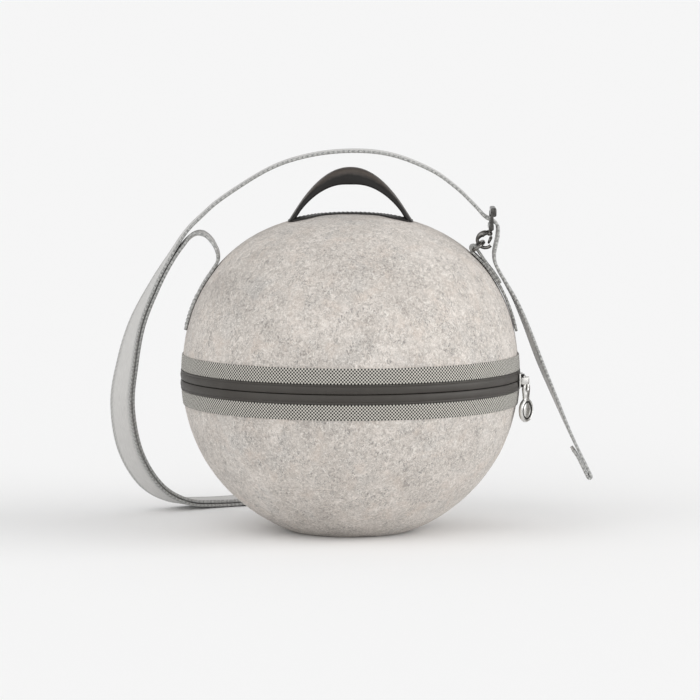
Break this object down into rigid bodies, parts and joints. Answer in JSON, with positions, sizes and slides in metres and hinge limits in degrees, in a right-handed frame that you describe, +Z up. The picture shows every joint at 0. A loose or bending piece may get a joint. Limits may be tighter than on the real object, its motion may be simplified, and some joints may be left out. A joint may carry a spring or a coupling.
{
  "type": "ball carrying case",
  "caption": "Ball-shaped moulded felt carrying case with a zip round its middle, a leather grip and a webbing shoulder strap on a swivel hook.",
  "frame": {"origin": "centre of the flat base, on the ball's axis", "axes": "+Z up, the zip slider and the hooked end of the strap on +X, the lid's hinge on +Y, the front on -Y"},
  "size_m": [0.3476, 0.2863, 0.2716],
  "materials": {
    "felt": "mottled light grey moulded wool felt",
    "shell": "moulded hard shell",
    "lining": "dark brushed lining",
    "band_weave": "black and off-white basket weave",
    "coated_tape": "dark coated zip tape, satin",
    "zip_coil": "black nylon coil",
    "nickel": "polished nickel",
    "leather": "dark brown-grey smooth leather",
    "webbing": "light grey satin webbing with herringbone edges",
    "dark_metal": "dark nickel"
  },
  "bodies": {
    "base": {"base_felt": "felt", "base_shell": "shell", "base_lining": "lining", "base_band": "band_weave", "base_zip_tape": "coated_tape", "base_zip_coil": "zip_coil", "zip_stop_left": "nickel", "zip_stop_right": "nickel", "rear_hinge_fabric": "coated_tape"},
    "lid": {"lid_felt": "felt", "lid_shell": "shell", "lid_lining": "lining", "lid_band": "band_weave", "lid_zip_tape": "coated_tape", "lid_zip_coil": "zip_coil", "handle_grip": "leather", "handle_patch": "leather", "right_tab": "webbing", "swivel_eye": "dark_metal", "shoulder_strap": "webbing", "strap_end": "webbing"},
    "slider": {"zip_slider": "nickel"},
    "pull": {"zip_pull": "nickel"},
    "ring": {"d_ring": "dark_metal"},
    "hook": {"snap_hook": "dark_metal"},
    "gate": {"hook_gate": "dark_metal"}
  },
  "joints": [
    {"name": "lid_hinge", "type": "hinge", "parent": "base", "child": "lid", "pos_m": [0, 0.1214, 0.1088], "axis": [-1, 0, 0], "range_deg": [0, 100], "deforming": ["rear_hinge_fabric", "shoulder_strap"]},
    {"name": "zip_travel", "type": "hinge", "parent": "base", "child": "slider", "pos_m": [0, 0, 0.1088], "axis": [0, 0, 1], "range_deg": [-221, 59]},
    {"name": "pull_swing", "type": "hinge", "parent": "slider", "child": "pull", "pos_m": [0.12425, -0.01968, 0.1088], "axis": [-0.1564, -0.9877, 0], "range_deg": [-5, 150]},
    {"name": "ring_tilt", "type": "hinge", "parent": "lid", "child": "ring", "pos_m": [0.0875, 0, 0.2008], "axis": [0, 1, 0], "range_deg": [-9, 0]},
    {"name": "hook_swivel", "type": "hinge", "parent": "lid", "child": "hook", "pos_m": [0.099, 0, 0.2072], "axis": [0, 0, 1], "range_deg": [-18, 18]},
    {"name": "gate_spring", "type": "hinge", "parent": "hook", "child": "gate", "pos_m": [0.0999, 0, 0.2092], "axis": [0, 1, 0], "range_deg": [0, 18], "stiffness_Nm_per_rad": 0.01, "springref_deg": -11.46}
  ]
}
